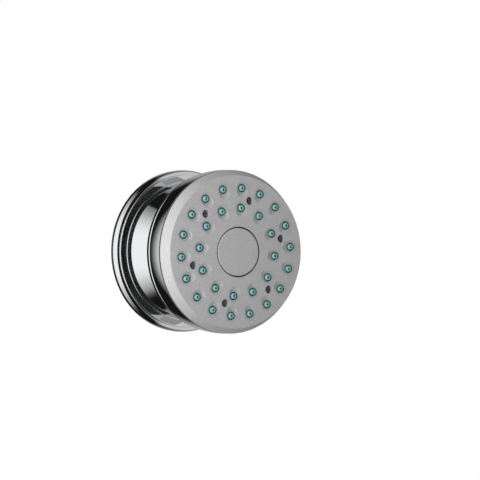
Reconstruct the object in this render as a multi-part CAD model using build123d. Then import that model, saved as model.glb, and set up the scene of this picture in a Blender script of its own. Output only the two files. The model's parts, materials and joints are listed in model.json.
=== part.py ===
from build123d import *
import math
import os

# Wall-mounted shower body jet, in millimetres.
# Every piece is modelled upright, with Z as the distance forward of the wall and X as the radius,
# and is then laid over so that the jets point along -Y, +Z is up and the wall plane is y = 0.
# The origin is the centre of the wall plane.

# Overall form
PROJECTION = 64.2               # wall to the crown of the spray face
DOME_RADIUS = 342.0             # sphere that the spray face follows

# Escutcheon: round-edged wall flange with two low steps, running into a conical neck
FLANGE_RADIUS = 47.2
FLANGE_SIDE = 2.7               # wall to the rounded edge
FLANGE_DRAFT = 0.2              # how much the side narrows towards the wall
FLANGE_EDGE_ROUND = 3.2
FLANGE_BACK_ROUND = 0.3         # edge against the wall
FLANGE_EDGE = 2.4               # wall left outside the gasket recess
EDGE_WIDTH = 2.65               # flange's edge to the first low step
STEP_RISE = 0.7                 # crest of the rounded edge to the top of the first step
STEP_ROUND = 0.7
STEP_WIDTH = 4.1                # first step to the second, round the foot of the neck
FOOT_RISE = 0.65
FOOT_ROUND = 0.6
GASKET_THICK = 1.0
GASKET_WIDTH = 5.5
GASKET_CLEAR = 0.2
NECK_RADIUS = 27.9
NECK_WALL = 1.5
FOOT_WIDTH = 2.85               # second step to the cone of the neck
NECK_ROOT_ROUND = 0.4
NECK_CONE = 17.49926            # length of the cone along the axis
NECK_BLEND = 12.0               # curve from the cone into the straight neck
NECK_LIP = 3.4                  # how far the mouth turns in
NECK_MOUTH_ROUND = 1.5
NECK_TO_HEAD = 6.0              # room for the head to swivel
LAND_STEP = 2.0                 # neck bore to the land that the holder's ring grips
LAND_LEAD = 0.4                 # the land starts behind the holder
RELIEF_STEP = 10.0              # land to the hollow behind it
RELIEF_SLOPE = 2.0              # length of the cone from the hollow to the land

# Inlet nipple, half-inch pipe thread
THREAD_RADIUS = 10.478
THREAD_LENGTH = 13.0
THREAD_LEAD = 1.0
NIPPLE_FLATS = 24.0
NIPPLE_HEX = 6.0
NIPPLE_BOSS_RADIUS = 11.5
NIPPLE_BOSS = 8.5
NIPPLE_BORE = 5.5
INSERT_RADIUS = 8.0             # inlet counterbore for the strainer and the flow limiter
INSERT_CLEAR = 0.05
STRAINER_THICK = 3.4
STRAINER_RIM = 1.0
STRAINER_SCREEN = 1.0
STRAINER_HOLE = 0.65
STRAINER_PITCH = 1.95
STRAINER_RINGS = 2
STRAINER_HOLES = 6              # in the first ring, and as many more in each further ring
LIMITER_LENGTH = 5.2
LIMITER_CORE_RADIUS = 3.4
LIMITER_HOLE = 0.8
LIMITER_HOLES = 8
LIMITER_GROOVE = 2.2            # depth of the groove that holds the limiter's ring
LIMITER_RING = 0.7              # section radius of the limiter's ring

# Sleeve holder
HOLDER_CLEAR = 0.15
HOLDER_END_CLEAR = 0.2          # in front of the holder's rim
HOLDER_WEB = 2.5
HOLDER_RIM = 3.4
HOLDER_RIM_LENGTH = 6.0
HOLDER_WINDOW = 2.9
HOLDER_WINDOWS = 6
HOLDER_ORING = 0.8              # section radius
HOLDER_NUT_FLATS = 30.0
HOLDER_NUT = 4.0
THREAD_CLEAR = 0.05

# Ball stem
BALL_RADIUS = 12.5
BALL_BEHIND_HEAD = 8.0          # ball centre to the back of the head
BALL_FRONT = 10.0               # ball centre to the flat on its front
STEM_RADIUS = 7.0
STEM_BORE = 5.0
STEM_FLATS = 17.0
STEM_HEX = 2.0
STEM_SPIGOT_RADIUS = 8.0
WASHER_THICK = 1.2
SPIGOT_LENGTH = 6.4

# Slip rings and seal of the ball joint
BALL_CLEAR = 0.05
ORING_CLEAR = 0.05              # round a ring in its groove
SLIP_RING = 1.6
FRONT_RING_SPAN = (56.0, 80.0)  # degrees from the jet axis, about the ball centre
REAR_RING_SPAN = (100.0, 125.0)
BALL_SEAL = 1.2                 # section radius
BALL_SEAL_ANGLE = 40.5
HUB_SEAT_CLEAR = 0.08

# Union nut
UNION_RADIUS = 20.0
UNION_WALL = 2.95
UNION_REAR = 10.5               # ball centre to the back of the nut
UNION_LENGTH = 17.0
UNION_LIP = 8.6                 # ball centre to the edge of the spherical seat
UNION_MOUTH_FLARE = 1.6
UNION_GRIP = 2.4
UNION_GRIP_DEPTH = 0.6
UNION_GRIPS = 12
UNION_ROUND = 0.8

# Head cup
HEAD_RADIUS = 46.8
HEAD_DEPTH = 26.2               # crown of the face to the back of the cup
FACE_DEPTH = 9.9                # crown of the face to the seam with the cup
SEAM = 0.8
SEAM_EASE = 0.3
CUP_BARREL = 60.0               # radius of the cup's curved side
CUP_WIDEST = 3.5                # seam to the widest place of the curved side
CUP_REAR_ROUND = 1.2
CUP_GROOVE_PLACE = 4.2          # back of the cup to the turned groove round it
CUP_GROOVE_ROUND = 0.9
CUP_GROOVE_DEPTH = 0.6
CUP_WALL = 2.2
CUP_INNER_ROUND = 1.6
HUB_SPIGOT_START = 0.3          # ball centre to the back of the threaded hub
HUB_DEPTH = 11.8                # ball centre to the hub floor
HUB_FLOOR = 1.8
HUB_BOSS_WALL = 3.0
HUB_ROOT_ROUND = 1.2

# Spray face
FACE_WALL = 2.4
FACE_TAPER = 3.0                # how much the side of the face narrows towards the front
FACE_EDGE_ROUND = 0.8
FACE_LIP = 2.2                  # wall of the spigot inside the cup
FACE_LIP_LENGTH = 3.3
FACE_LIP_CLEAR = 0.2
FACE_ORING = 0.6                # section radius
LAYER_CLEAR = 0.05              # between the face, the jet mat and the carrier

# Jets
OUTER_RING_RATIO = 0.78         # ring radius over head radius
OUTER_JET_COUNT = 18
OUTER_JET_ANGLE = 4.26          # first jet, in degrees from +X towards the top
INNER_RING_RATIO = 0.538
INNER_JET_COUNT = 12
INNER_JET_ANGLE = 24.34
JET_ROOT_RADIUS = 1.75
JET_TIP_RADIUS = 1.5
JET_TIP_ROUND = 0.6
JET_PROUD = 0.35                # tip above the face
JET_ORIFICE = 0.65
JET_INLET = 1.1
JET_HOLE_CLEAR = 0.7
DIMPLE_WIDTH = 6.9
DIMPLE_LENGTH = 8.8
DIMPLE_DEPTH = 0.95
DIMPLE_OFFSET = 0.5             # dimple centre nearer the jet axis than the jet
MAT_THICK = 1.4
MAT_INNER_RADIUS = 19.0
MAT_EDGE_CLEAR = 0.2

# Jet carrier
CARRIER_EDGE = 2.0
CARRIER_CLEAR = 0.2
CARRIER_PORT = 1.5
WELL_RADIUS = 16.2
WELL_WALL = 1.8
WELL_FLOOR = 2.0

# Screws
SCREW_RING_RATIO = 0.645
SCREW_COUNT = 6
SCREW_ANGLE = 14.26
SCREW_RECESS_RADIUS = 2.35
SCREW_BOSS_RADIUS = 3.8
SCREW_BOSS_CLEAR = 0.05
SCREW_SEAT = 8.0                # floor under the screw head
SCREW_SPLIT = 14.2              # crown of the face to where its bosses meet the cup's
SCREW_HEAD_RADIUS = 2.1
SCREW_HEAD = 1.6
SCREW_SHANK = 1.45
SCREW_LENGTH = 15.0
SCREW_PILOT_CLEAR = 0.05
SCREW_SOCKET = 2.2
SCREW_SOCKET_DEPTH = 0.9

# Stop valve and button
BUTTON_RADIUS = 13.75
BUTTON_GAP = 0.7
BUTTON_THICK = 2.4
BUTTON_ROUND = 0.9
BUTTON_EASE = 0.5               # bevel of its back edge
BUTTON_SKIRT = 1.4
BUTTON_STROKE = 3.0
BUTTON_BOSS_RADIUS = 5.0
BUTTON_COLLAR = 1.6
COLLAR_CLEAR = 0.3              # collar of the face above the floor of the well
STROKE_SPARE = 0.3              # left under the button at full stroke
SEAT_HEIGHT = 1.8
SEAT_RADIUS = 9.0
SEAT_BORE = 5.0
SEAT_CLEAR = 0.05
PLUG_RADIUS = 7.0
PLUG_THICK = 1.6
PLUG_WASHER = 1.2
PLUNGER_RADIUS = 3.0
PLUNGER_CLEAR = 0.06
PLUNGER_SEAT = 1.6              # how deep the plunger sits in the button
GUIDE_LENGTH = 3.0
GUIDE_WALL = 3.2
STEM_ORING = 0.8                # section radius
SPRING_RADIUS = 7.6
SPRING_WIRE = 0.4               # wire radius
SPRING_TURNS = 3.0
SPRING_END_CLEAR = 0.05

# Places along the axis, measured forward from the wall
STEP_FRONT = FLANGE_SIDE + FLANGE_EDGE_ROUND + STEP_RISE
FOOT_FRONT = STEP_FRONT + FOOT_RISE
HEAD_BACK = PROJECTION - HEAD_DEPTH
BALL = HEAD_BACK - BALL_BEHIND_HEAD
NECK_FRONT = HEAD_BACK - NECK_TO_HEAD
HEX_FRONT = NIPPLE_HEX
BOSS_FRONT = HEX_FRONT + NIPPLE_BOSS
SPIGOT_BACK = BOSS_FRONT - SPIGOT_LENGTH
WASHER_BACK = SPIGOT_BACK - WASHER_THICK
STEM_HEX_FRONT = BOSS_FRONT + STEM_HEX
INSERT_FRONT = -THREAD_LENGTH + STRAINER_THICK + LIMITER_LENGTH
HOLDER_WEB_FRONT = HEX_FRONT + HOLDER_WEB
HOLDER_FRONT = HEX_FRONT + HOLDER_RIM_LENGTH
CUP_FRONT = PROJECTION - FACE_DEPTH
FACE_BACK = CUP_FRONT + SEAM
LIP_BACK = FACE_BACK - FACE_LIP_LENGTH
SPLIT = PROJECTION - SCREW_SPLIT
HUB_FLOOR_BACK = BALL + HUB_DEPTH
HUB_FLOOR_FRONT = HUB_FLOOR_BACK + HUB_FLOOR
SEAT_FRONT = HUB_FLOOR_FRONT + SEAT_HEIGHT
PLUG_BACK = SEAT_FRONT + BUTTON_STROKE + STROKE_SPARE
PLUG_FRONT = PLUG_BACK + PLUG_WASHER + PLUG_THICK
GUIDE_BACK = PLUG_FRONT + STROKE_SPARE
WELL_BACK = GUIDE_BACK + GUIDE_LENGTH
WELL_FRONT = WELL_BACK + WELL_FLOOR
BUTTON_BACK = PROJECTION - BUTTON_THICK
DOME_CENTRE = PROJECTION - DOME_RADIUS

# Radii that follow from the fits
NECK_MOUTH_RADIUS = NECK_RADIUS - NECK_LIP
STEP_RADIUS = FLANGE_RADIUS - EDGE_WIDTH
FOOT_RADIUS = STEP_RADIUS - STEP_WIDTH
NECK_FOOT_RADIUS = FOOT_RADIUS - FOOT_WIDTH
NECK_BORE = NECK_RADIUS - NECK_WALL
LAND = NECK_BORE + LAND_STEP
RELIEF = LAND + RELIEF_STEP
GASKET_RECESS = FLANGE_RADIUS - FLANGE_EDGE
RING_INNER = BALL_RADIUS + BALL_CLEAR
RING_OUTER = RING_INNER + SLIP_RING
SOCKET = RING_OUTER + BALL_CLEAR
SEAL_REACH = BALL_RADIUS + BALL_CLEAR + BALL_SEAL
SEAL_RADIUS = SEAL_REACH * math.sin(math.radians(BALL_SEAL_ANGLE))
SEAL_BORE = SEAL_RADIUS + BALL_SEAL + HUB_SEAT_CLEAR
HUB_RADIUS = UNION_RADIUS - UNION_WALL - THREAD_CLEAR
CUP_BORE = HEAD_RADIUS - CUP_WALL
LIP_OUTER = CUP_BORE - FACE_LIP_CLEAR
LIP_INNER = LIP_OUTER - FACE_LIP
COLLAR_BORE = BUTTON_RADIUS + BUTTON_GAP
JET_HOLE = JET_ROOT_RADIUS + JET_HOLE_CLEAR
FACE_INNER = DOME_RADIUS - FACE_WALL
MAT_OUTER = FACE_INNER - LAYER_CLEAR
MAT_INNER = MAT_OUTER - MAT_THICK
CARRIER_SPHERE = MAT_INNER - LAYER_CLEAR

# Rings round the jet axis: radius, count, first angle
OUTER_RING = (OUTER_RING_RATIO * HEAD_RADIUS, OUTER_JET_COUNT, OUTER_JET_ANGLE)
INNER_RING = (INNER_RING_RATIO * HEAD_RADIUS, INNER_JET_COUNT, INNER_JET_ANGLE)
SCREW_RING = (SCREW_RING_RATIO * HEAD_RADIUS, SCREW_COUNT, SCREW_ANGLE)


def dome_height(radius, sphere=DOME_RADIUS):
    """Distance forward of the wall, at a radius, of a sphere about the dome's centre."""
    return DOME_CENTRE + math.sqrt(sphere**2 - radius**2)


def rounded(corners, close=False):
    """Line through (radius, forward) corners; a third value rounds that corner."""
    points = [corner[:2] for corner in corners]
    rounds = [corner[2] if len(corner) > 2 else 0 for corner in corners]
    return FilletPolyline(*points, radius=rounds if close else rounds[1:-1], close=close)


def lathe(*lines):
    """Revolve the section that the lines enclose."""
    return revolve(Plane.XZ * make_face(lines), axis=Axis.Z)


def turned(*corners):
    return lathe(rounded(corners, close=True))


def tube(inner, outer, back, front):
    return turned((inner, back), (outer, back), (outer, front), (inner, front))


def rod(radius, back, front):
    return extrude(Plane.XY.offset(back) * Circle(radius), front - back)


def hexagon(flats, back, front):
    outline = RegularPolygon(flats / 2, 6, major_radius=False)
    return extrude(Plane.XY.offset(back) * outline, front - back)


def oring(radius, section, forward):
    return Pos(0, 0, forward) * Torus(radius, section)


def ball(radius):
    return Pos(0, 0, BALL) * Sphere(radius)


def dome(radius):
    """Everything behind a sphere about the dome's centre, as wide as the head."""
    lean = math.degrees(math.asin(HEAD_RADIUS / radius))
    crown = CenterArc((0, DOME_CENTRE), radius, 90 - lean, lean)
    sides = Polyline(crown @ 1, (0, 0), (HEAD_RADIUS, 0), crown @ 0)
    return lathe(crown, sides)


def domed_disc(radius, taper, edge_round, back, relief):
    """Disc from a plane forward to the dome: tapering side, rounded front edge, bevelled back edge."""
    lean = math.degrees(math.asin((radius - taper) / DOME_RADIUS))
    crown = CenterArc((0, DOME_CENTRE), DOME_RADIUS, 90 - lean, lean)
    sides = Polyline(crown @ 1, (0, back), (radius - relief, back), (radius, back + relief), crown @ 0)
    disc = lathe(crown, sides)
    front_edge = disc.edges().filter_by(lambda edge: edge.is_closed).sort_by(Axis.Z)[-1]
    return fillet(front_edge, edge_round)


def around(ring, shape):
    """Copies of a shape, made at the jet axis with X outwards, round a (radius, count, first angle) ring."""
    radius, count, first = ring
    return [place * shape for place in PolarLocations(radius, count, start_angle=first)]


def screw_rods(radius, back, front):
    return around(SCREW_RING, rod(radius, back, front))


def make_escutcheon():
    lip_back = NECK_FRONT - NECK_WALL
    land_back = HEX_FRONT - LAND_LEAD
    land_front = HOLDER_FRONT + HOLDER_END_CLEAR
    edge_centre = FLANGE_RADIUS - FLANGE_EDGE_ROUND
    edge_turn = math.acos((STEP_RADIUS - edge_centre) / FLANGE_EDGE_ROUND)
    edge = CenterArc((edge_centre, FLANGE_SIDE), FLANGE_EDGE_ROUND, 0, math.degrees(edge_turn))
    rest = rounded([
        (STEP_RADIUS, FLANGE_SIDE + FLANGE_EDGE_ROUND * math.sin(edge_turn)),
        (STEP_RADIUS, STEP_FRONT, STEP_ROUND),
        (FOOT_RADIUS, STEP_FRONT),
        (FOOT_RADIUS, FOOT_FRONT, FOOT_ROUND),
        (NECK_FOOT_RADIUS, FOOT_FRONT, NECK_ROOT_ROUND),
        (NECK_RADIUS, FOOT_FRONT + NECK_CONE, NECK_BLEND),
        (NECK_RADIUS, NECK_FRONT, NECK_MOUTH_ROUND),
        (NECK_MOUTH_RADIUS, NECK_FRONT),
        (NECK_MOUTH_RADIUS, lip_back),
        (NECK_BORE, lip_back),
        (NECK_BORE, land_front),
        (LAND, land_front),
        (LAND, land_back),
        (RELIEF, land_back - RELIEF_SLOPE),
        (RELIEF, GASKET_THICK),
        (GASKET_RECESS, GASKET_THICK),
        (GASKET_RECESS, 0),
        (FLANGE_RADIUS - FLANGE_DRAFT, 0, FLANGE_BACK_ROUND),
        (FLANGE_RADIUS, FLANGE_SIDE),
    ])
    return lathe(edge, rest)


def make_wall_gasket():
    outer = GASKET_RECESS - GASKET_CLEAR
    return tube(outer - GASKET_WIDTH, outer, 0, GASKET_THICK)


def make_inlet_nipple():
    body = turned(
        (0, -THREAD_LENGTH),
        (THREAD_RADIUS - THREAD_LEAD, -THREAD_LENGTH),
        (THREAD_RADIUS, -THREAD_LENGTH + THREAD_LEAD),
        (THREAD_RADIUS, HEX_FRONT),
        (NIPPLE_BOSS_RADIUS, HEX_FRONT),
        (NIPPLE_BOSS_RADIUS, BOSS_FRONT),
        (0, BOSS_FRONT),
    )
    body += hexagon(NIPPLE_FLATS, 0, HEX_FRONT)
    inlet = rod(INSERT_RADIUS, -THREAD_LENGTH, INSERT_FRONT)
    bore = rod(NIPPLE_BORE, INSERT_FRONT, WASHER_BACK)
    socket = rod(STEM_SPIGOT_RADIUS + THREAD_CLEAR, WASHER_BACK, BOSS_FRONT)
    return body - [inlet, bore, socket]


def make_strainer():
    outer = INSERT_RADIUS - INSERT_CLEAR
    back = -THREAD_LENGTH
    front = back + STRAINER_THICK
    cup = rod(outer, back, front) - rod(outer - STRAINER_RIM, back, front - STRAINER_SCREEN)
    hole = rod(STRAINER_HOLE, back, front)
    holes = [hole]
    for ring in range(1, STRAINER_RINGS + 1):
        holes += around((ring * STRAINER_PITCH, ring * STRAINER_HOLES, 0), hole)
    return cup - holes


def make_flow_limiter():
    outer = INSERT_RADIUS - INSERT_CLEAR
    back = INSERT_FRONT - LIMITER_LENGTH
    groove = tube(LIMITER_CORE_RADIUS, outer - STRAINER_RIM, back, back + LIMITER_GROOVE)
    port_ring = (LIMITER_CORE_RADIUS + LIMITER_HOLE, LIMITER_HOLES, 0)
    return rod(outer, back, INSERT_FRONT) - groove - around(port_ring, rod(LIMITER_HOLE, back, INSERT_FRONT))


def make_limiter_oring():
    back = INSERT_FRONT - LIMITER_LENGTH
    radius = LIMITER_CORE_RADIUS + LIMITER_RING + ORING_CLEAR
    return oring(radius, LIMITER_RING, back + LIMITER_GROOVE - LIMITER_RING - ORING_CLEAR)


def make_sleeve_holder():
    outer = LAND - HOLDER_CLEAR
    inner = outer - HOLDER_RIM
    bore = NIPPLE_BOSS_RADIUS + THREAD_CLEAR
    disc = turned(
        (bore, HEX_FRONT),
        (outer, HEX_FRONT),
        (outer, HOLDER_FRONT),
        (inner, HOLDER_FRONT),
        (inner, HOLDER_WEB_FRONT),
        (bore, HOLDER_WEB_FRONT),
    )
    half = HOLDER_ORING + ORING_CLEAR
    groove_middle = (HEX_FRONT + HOLDER_FRONT) / 2
    groove = tube(LAND - 2 * half, LAND, groove_middle - half, groove_middle + half)
    nut_corner = HOLDER_NUT_FLATS / math.sqrt(3)
    window_ring = ((inner + nut_corner) / 2, HOLDER_WINDOWS, 0)
    return disc - groove - around(window_ring, rod(HOLDER_WINDOW, HEX_FRONT, HOLDER_WEB_FRONT))


def make_sleeve_oring():
    return oring(LAND - HOLDER_ORING - ORING_CLEAR, HOLDER_ORING, (HEX_FRONT + HOLDER_FRONT) / 2)


def make_holder_nut():
    front = HOLDER_WEB_FRONT + HOLDER_NUT
    nut = hexagon(HOLDER_NUT_FLATS, HOLDER_WEB_FRONT, front)
    return nut - rod(NIPPLE_BOSS_RADIUS + THREAD_CLEAR, HOLDER_WEB_FRONT, front)


def make_stem_washer():
    return tube(STEM_BORE, STEM_SPIGOT_RADIUS, WASHER_BACK, SPIGOT_BACK)


def make_ball_stem():
    front = BALL + BALL_FRONT
    stem = rod(STEM_SPIGOT_RADIUS, SPIGOT_BACK, BOSS_FRONT) + hexagon(STEM_FLATS, BOSS_FRONT, STEM_HEX_FRONT)
    stem += rod(STEM_RADIUS, STEM_HEX_FRONT, BALL)
    stem += ball(BALL_RADIUS) - rod(BALL_RADIUS, front, BALL + BALL_RADIUS)
    return stem - rod(STEM_BORE, SPIGOT_BACK, front)


def make_slip_ring(span):
    """Spherical liner between two angles from the jet axis, seen from the ball's centre."""
    first, last = span
    inner = CenterArc((0, BALL), RING_INNER, 90 - last, last - first)
    outer = CenterArc((0, BALL), RING_OUTER, 90 - last, last - first)
    return lathe(inner, Line(inner @ 1, outer @ 1), outer, Line(outer @ 0, inner @ 0))


def make_ball_seal():
    return oring(SEAL_RADIUS, BALL_SEAL, BALL + SEAL_REACH * math.cos(math.radians(BALL_SEAL_ANGLE)))


def make_union_nut():
    back = BALL - UNION_REAR
    front = back + UNION_LENGTH
    lip = BALL - UNION_LIP
    lip_radius = math.sqrt(SOCKET**2 - UNION_LIP**2)
    thread = UNION_RADIUS - UNION_WALL
    body = turned(
        (0, back),
        (UNION_RADIUS, back, UNION_ROUND),
        (UNION_RADIUS, front, UNION_ROUND),
        (0, front),
    )
    mouth = turned((0, back), (lip_radius + UNION_MOUTH_FLARE, back), (lip_radius, lip), (0, lip))
    grip_radius = UNION_RADIUS + UNION_GRIP - UNION_GRIP_DEPTH
    grips = around((grip_radius, UNION_GRIPS, 0), rod(UNION_GRIP, back, front))
    seat = ball(SOCKET) - rod(SOCKET, BALL - SOCKET, lip)
    return body - [mouth, seat, rod(thread, BALL, front)] - grips


def cup_groove():
    """Ring that cuts the turned groove round the back of the cup's curved side."""
    place = HEAD_BACK + CUP_GROOVE_PLACE
    widest = CUP_FRONT - SEAM_EASE - CUP_WIDEST
    bulge = math.sqrt(CUP_BARREL**2 - (widest - place)**2) - math.sqrt(CUP_BARREL**2 - CUP_WIDEST**2)
    return oring(HEAD_RADIUS + bulge + CUP_GROOVE_ROUND - CUP_GROOVE_DEPTH, CUP_GROOVE_ROUND, place)


def cup_section():
    """Lines round the section of the cup: its curved side, the rounded rear edge and the hub inside."""
    rear_inner = HEAD_BACK + CUP_WALL
    hub_back = BALL + HUB_SPIGOT_START
    side_front = CUP_FRONT - SEAM_EASE
    step = LIP_BACK - FACE_LIP_CLEAR
    reach = CUP_BARREL - CUP_REAR_ROUND
    widest = side_front - CUP_WIDEST
    rear_lean = math.asin((widest - HEAD_BACK - CUP_REAR_ROUND) / reach)
    rear_angle = math.degrees(rear_lean)
    front_angle = math.degrees(math.asin(CUP_WIDEST / CUP_BARREL))
    barrel_centre = HEAD_RADIUS - math.sqrt(CUP_BARREL**2 - CUP_WIDEST**2)
    rear_centre = barrel_centre + reach * math.cos(rear_lean)
    rear_bore = rear_centre + CUP_REAR_ROUND - CUP_WALL
    hub_boss = SEAL_BORE + HUB_BOSS_WALL
    seat_rim = SEAT_RADIUS + SEAT_CLEAR
    seat_middle = (HUB_FLOOR_FRONT + SEAT_FRONT) / 2
    rear = CenterArc((rear_centre, HEAD_BACK + CUP_REAR_ROUND), CUP_REAR_ROUND, -90, 90 - rear_angle)
    side = CenterArc((barrel_centre, widest), CUP_BARREL, -rear_angle, rear_angle + front_angle)
    rest = rounded([
        (HEAD_RADIUS, side_front),
        (HEAD_RADIUS - SEAM_EASE, CUP_FRONT),
        (CUP_BORE, CUP_FRONT),
        (CUP_BORE, step),
        (rear_bore, step),
        (rear_bore, rear_inner, CUP_INNER_ROUND),
        (hub_boss, rear_inner),
        (hub_boss, seat_middle),
        (seat_rim, seat_middle),
        (seat_rim, HUB_FLOOR_FRONT),
        (0, HUB_FLOOR_FRONT),
        (0, hub_back),
        (HUB_RADIUS, hub_back),
        (HUB_RADIUS, HEAD_BACK, HUB_ROOT_ROUND),
        (rear_centre, HEAD_BACK),
    ])
    return rear, side, rest


def make_head_cup():
    cup = lathe(*cup_section())
    cup += screw_rods(SCREW_BOSS_RADIUS, HEAD_BACK + CUP_WALL, SPLIT)
    socket = ball(SOCKET) - rod(SOCKET, HUB_FLOOR_BACK, BALL + SOCKET)
    seal_seat = rod(SEAL_BORE, BALL, HUB_FLOOR_BACK)
    waterway = rod(SEAT_BORE, BALL, HUB_FLOOR_FRONT)
    pilot_floor = SPLIT + SCREW_SEAT - SCREW_LENGTH - SCREW_PILOT_CLEAR
    pilots = screw_rods(SCREW_SHANK + SCREW_PILOT_CLEAR, pilot_floor, SPLIT)
    return cup - [cup_groove(), socket, seal_seat, waterway] - pilots


def make_valve_seat():
    seat = tube(SEAT_BORE, SEAT_RADIUS, HUB_FLOOR_FRONT, SEAT_FRONT)
    return chamfer(seat.edges().filter_by(GeomType.CIRCLE).group_by(Axis.Z)[-1], SEAT_HEIGHT / 4)


def dimple(jet_radius):
    """Capsule, lying along the radius, that scoops the shallow dimple of a jet out of the dome."""
    round_radius = (DIMPLE_WIDTH**2 / 4 + DIMPLE_DEPTH**2) / (2 * DIMPLE_DEPTH)
    half = (DIMPLE_LENGTH - DIMPLE_WIDTH) / 2
    first_end = CenterArc((-half, 0), round_radius, 90, 90)
    last_end = CenterArc((half, 0), round_radius, 0, 90)
    outline = [first_end, Line(first_end @ 0, last_end @ 1), last_end, Line(last_end @ 0, first_end @ 1)]
    capsule = revolve(make_face(outline), axis=Axis.X)
    lift = DOME_RADIUS + round_radius - DIMPLE_DEPTH
    lean = math.asin((jet_radius - DIMPLE_OFFSET) / lift)
    sideways = lift * math.sin(lean) - jet_radius
    forward = DOME_CENTRE + lift * math.cos(lean)
    return Pos(sideways, 0, forward) * Rot(0, math.degrees(lean), 0) * capsule


def make_face_plate():
    shell = domed_disc(HEAD_RADIUS, FACE_TAPER, FACE_EDGE_ROUND, FACE_BACK, SEAM_EASE)
    hollow = dome(FACE_INNER) & rod(LIP_INNER, 0, PROJECTION)
    lip = tube(LIP_INNER, LIP_OUTER, LIP_BACK, FACE_BACK)
    groove_middle = LIP_BACK + FACE_LIP_LENGTH / 2
    half = FACE_ORING + ORING_CLEAR
    groove = tube(CUP_BORE - 2 * half, CUP_BORE, groove_middle - half, groove_middle + half)
    within = dome(FACE_INNER + FACE_WALL / 2)
    collar = rod(COLLAR_BORE + BUTTON_COLLAR, WELL_FRONT + COLLAR_CLEAR, PROJECTION) & within
    plate = shell - hollow + (lip - groove) + collar
    plate += [boss & within for boss in screw_rods(SCREW_BOSS_RADIUS, SPLIT, PROJECTION)]
    cuts = [rod(COLLAR_BORE, 0, PROJECTION)]
    cuts += screw_rods(SCREW_RECESS_RADIUS, SPLIT + SCREW_SEAT, PROJECTION)
    cuts += screw_rods(SCREW_SHANK + SCREW_PILOT_CLEAR, SPLIT, SPLIT + SCREW_SEAT)
    for ring in (OUTER_RING, INNER_RING):
        cuts += around(ring, rod(JET_HOLE, SPLIT, PROJECTION))
        cuts += around(ring, dimple(ring[0]))
    return plate - cuts


def jet(ring_radius):
    """One soft jet, upright on its own axis, from inside the mat to its tip."""
    root = dome_height(ring_radius, MAT_OUTER - MAT_THICK / 2)
    floor = dome_height(ring_radius) - DIMPLE_DEPTH
    tip = dome_height(ring_radius) + JET_PROUD
    return turned(
        (JET_INLET, root),
        (JET_ROOT_RADIUS, root),
        (JET_ROOT_RADIUS, floor),
        (JET_TIP_RADIUS, tip, JET_TIP_ROUND),
        (JET_ORIFICE, tip),
        (JET_ORIFICE, floor),
    )


def make_jet_mat():
    outer = LIP_INNER - MAT_EDGE_CLEAR
    mat = dome(MAT_OUTER) - dome(MAT_INNER)
    mat &= tube(MAT_INNER_RADIUS, outer, 0, PROJECTION)
    holes = screw_rods(SCREW_BOSS_RADIUS + SCREW_BOSS_CLEAR, 0, PROJECTION)
    jets = []
    for ring in (OUTER_RING, INNER_RING):
        holes += around(ring, rod(JET_INLET, 0, PROJECTION))
        jets += around(ring, jet(ring[0]))
    return mat - holes + jets


def make_jet_carrier():
    outer = LIP_INNER - CARRIER_CLEAR
    back = dome_height(outer, CARRIER_SPHERE) - CARRIER_EDGE
    guide_radius = PLUNGER_RADIUS + GUIDE_WALL
    well_outer = WELL_RADIUS + WELL_WALL
    body = rod(outer, back, PROJECTION) + rod(well_outer, WELL_BACK, PROJECTION)
    body = body & dome(CARRIER_SPHERE)
    body = body - rod(WELL_RADIUS, WELL_FRONT, PROJECTION)
    body += rod(guide_radius, GUIDE_BACK, WELL_BACK)
    half = STEM_ORING + ORING_CLEAR
    groove = rod(PLUNGER_RADIUS + PLUNGER_CLEAR + 2 * half, GUIDE_BACK, GUIDE_BACK + 2 * half)
    ports = screw_rods(SCREW_BOSS_RADIUS + SCREW_BOSS_CLEAR, 0, PROJECTION)
    for ring in (OUTER_RING, INNER_RING):
        ports += around(ring, rod(CARRIER_PORT, 0, PROJECTION))
    return body - [rod(PLUNGER_RADIUS + PLUNGER_CLEAR, GUIDE_BACK, WELL_FRONT), groove] - ports


def make_face_oring():
    return oring(CUP_BORE - FACE_ORING - ORING_CLEAR, FACE_ORING, LIP_BACK + FACE_LIP_LENGTH / 2)


def make_face_screws():
    seat = SPLIT + SCREW_SEAT
    head = seat + SCREW_HEAD
    screw = rod(SCREW_SHANK, seat - SCREW_LENGTH, seat) + rod(SCREW_HEAD_RADIUS, seat, head)
    screw -= hexagon(SCREW_SOCKET, head - SCREW_SOCKET_DEPTH, head)
    return Compound(children=around(SCREW_RING, screw))


def make_stem_oring():
    half = STEM_ORING + ORING_CLEAR
    return oring(PLUNGER_RADIUS + PLUNGER_CLEAR + half, STEM_ORING, GUIDE_BACK + half)


def make_stop_button():
    back = WELL_FRONT + BUTTON_STROKE + STROKE_SPARE
    disc = domed_disc(BUTTON_RADIUS, 0, BUTTON_ROUND, back, BUTTON_EASE)
    disc -= tube(BUTTON_BOSS_RADIUS, BUTTON_RADIUS - BUTTON_SKIRT, back, BUTTON_BACK)
    return disc - rod(PLUNGER_RADIUS, back, BUTTON_BACK + PLUNGER_SEAT)


def make_valve_plunger():
    plug_back = PLUG_BACK + PLUG_WASHER
    plug = rod(PLUG_RADIUS, plug_back, PLUG_FRONT)
    return plug + rod(PLUNGER_RADIUS, plug_back, BUTTON_BACK + PLUNGER_SEAT)


def make_plunger_washer():
    return rod(PLUG_RADIUS, PLUG_BACK, PLUG_BACK + PLUG_WASHER)


def make_button_spring():
    start = WELL_FRONT + SPRING_WIRE + SPRING_END_CLEAR
    height = BUTTON_BACK - SPRING_WIRE - SPRING_END_CLEAR - start
    path = Helix(height / SPRING_TURNS, height, SPRING_RADIUS, center=(0, 0, start))
    section = Plane(origin=path @ 0, z_dir=path % 0) * Circle(SPRING_WIRE)
    return sweep(section, path=path, is_frenet=True)


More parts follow.
